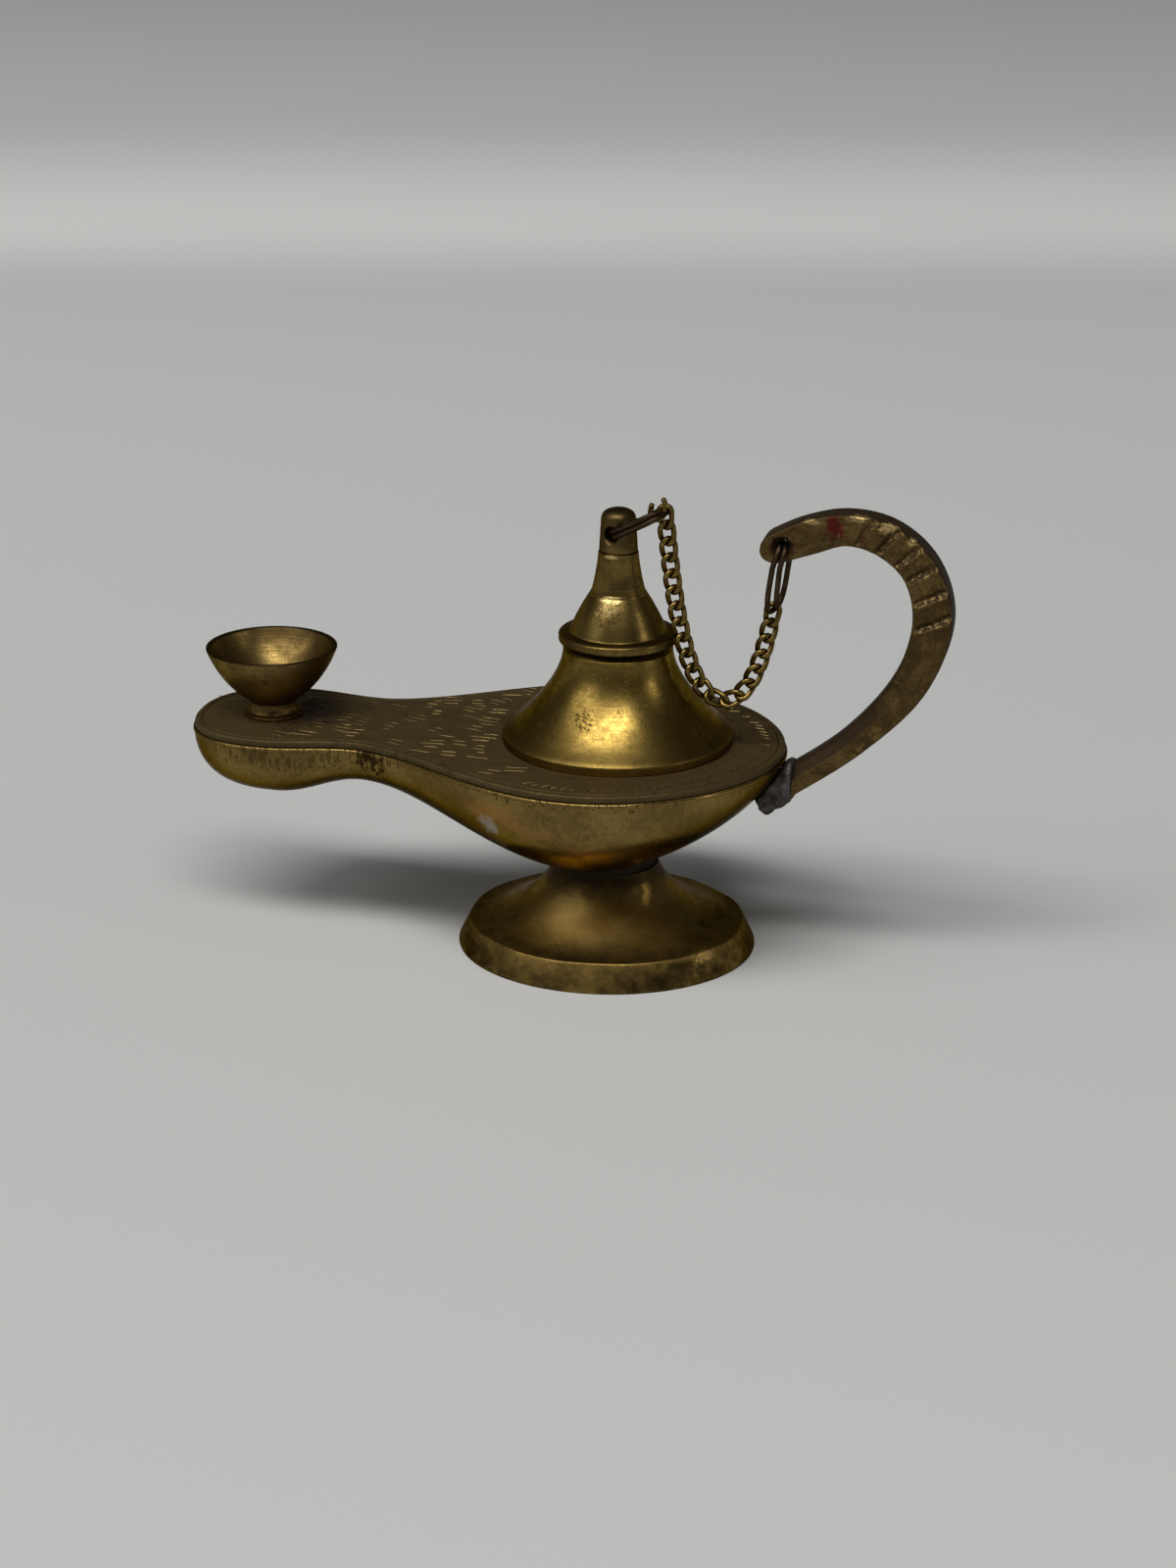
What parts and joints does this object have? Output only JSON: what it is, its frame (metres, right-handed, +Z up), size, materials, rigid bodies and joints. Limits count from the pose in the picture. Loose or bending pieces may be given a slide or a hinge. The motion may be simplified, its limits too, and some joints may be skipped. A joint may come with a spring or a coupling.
{
  "type": "lamp-shaped incense burner",
  "caption": "Aged brass incense burner in the shape of an oil lamp: boat-shaped bowl on a flared foot, small cup on the spout, hooked handle, and a lift-off lid on a curb chain.",
  "frame": {"origin": "under the middle of the whole lamp, on the surface that it stands on", "axes": "+Z up, +X from the spout towards the handle, +Y to the far side when the spout is on the left"},
  "size_m": [0.1378, 0.0626, 0.0838],
  "materials": {
    "polished_brass": "worn polish",
    "aged_brass": "aged satin",
    "engraved_brass": "oxidised matte",
    "cast_brass": "rough cast",
    "dark_wire": "dark patina",
    "chain_brass": "aged satin",
    "solder": "rough grey solder"
  },
  "bodies": {
    "base": {"foot": "aged_brass", "hull": "polished_brass", "deck": "engraved_brass", "neck": "polished_brass", "cup": "aged_brass", "handle": "cast_brass", "handle_solder": "solder"},
    "lid": {"lid": "polished_brass"},
    "lid_loop": {"lid_loop": "dark_wire"},
    "handle_loop": {"handle_loop": "dark_wire"},
    "chain_end": {"link_15": "chain_brass", "link_16": "chain_brass", "link_17": "chain_brass", "link_18": "chain_brass", "link_19": "chain_brass", "link_20": "chain_brass"},
    "chain_lower": {"link_10": "chain_brass", "link_11": "chain_brass", "link_12": "chain_brass", "link_13": "chain_brass", "link_14": "chain_brass"},
    "chain_upper": {"link_05": "chain_brass", "link_06": "chain_brass", "link_07": "chain_brass", "link_08": "chain_brass", "link_09": "chain_brass"},
    "chain_top": {"link_01": "chain_brass", "link_02": "chain_brass", "link_03": "chain_brass", "link_04": "chain_brass"}
  },
  "joints": [
    {"name": "lid_lift", "type": "slide", "parent": "base", "child": "lid", "axis": [0, 0, 1], "range_m": [0, 0.008]},
    {"name": "lid_loop_swing", "type": "hinge", "parent": "lid", "child": "lid_loop", "pos_m": [0.00957, 0, 0.07775], "axis": [0.2419, 0.9703, 0], "range_deg": [-2, 30]},
    {"name": "handle_loop_swing", "type": "hinge", "parent": "base", "child": "handle_loop", "pos_m": [0.03897, 0, 0.07742], "axis": [0, 1, 0], "range_deg": [-12, 8]},
    {"name": "chain_end_turn", "type": "hinge", "parent": "handle_loop", "child": "chain_end", "pos_m": [0.03725, 0, 0.06514], "axis": [0.1141, -0.9935, 0], "range_deg": [-35, 35]},
    {"name": "chain_lower_turn", "type": "hinge", "parent": "chain_end", "child": "chain_lower", "pos_m": [0.03165, -0.00064, 0.04922], "axis": [0.1141, -0.9935, 0], "range_deg": [-35, 35]},
    {"name": "chain_upper_turn", "type": "hinge", "parent": "chain_lower", "child": "chain_upper", "pos_m": [0.02223, -0.00173, 0.05672], "axis": [0.1141, -0.9935, 0], "range_deg": [-35, 35]},
    {"name": "chain_top_turn", "type": "hinge", "parent": "chain_upper", "child": "chain_top", "pos_m": [0.0195, -0.00204, 0.0712], "axis": [0.1141, -0.9935, 0], "range_deg": [-35, 35]}
  ],
  "couplings": [
    {"joint": "lid_loop_swing", "follows": "lid_lift", "rad_per_m": 61.087},
    {"joint": "handle_loop_swing", "follows": "lid_lift", "rad_per_m": -21.817},
    {"joint": "chain_end_turn", "follows": "lid_lift", "rad_per_m": -47.826},
    {"joint": "chain_lower_turn", "follows": "lid_lift", "rad_per_m": -2.5867},
    {"joint": "chain_upper_turn", "follows": "lid_lift", "rad_per_m": 23.646},
    {"joint": "chain_top_turn", "follows": "lid_lift", "rad_per_m": 7.0127}
  ]
}
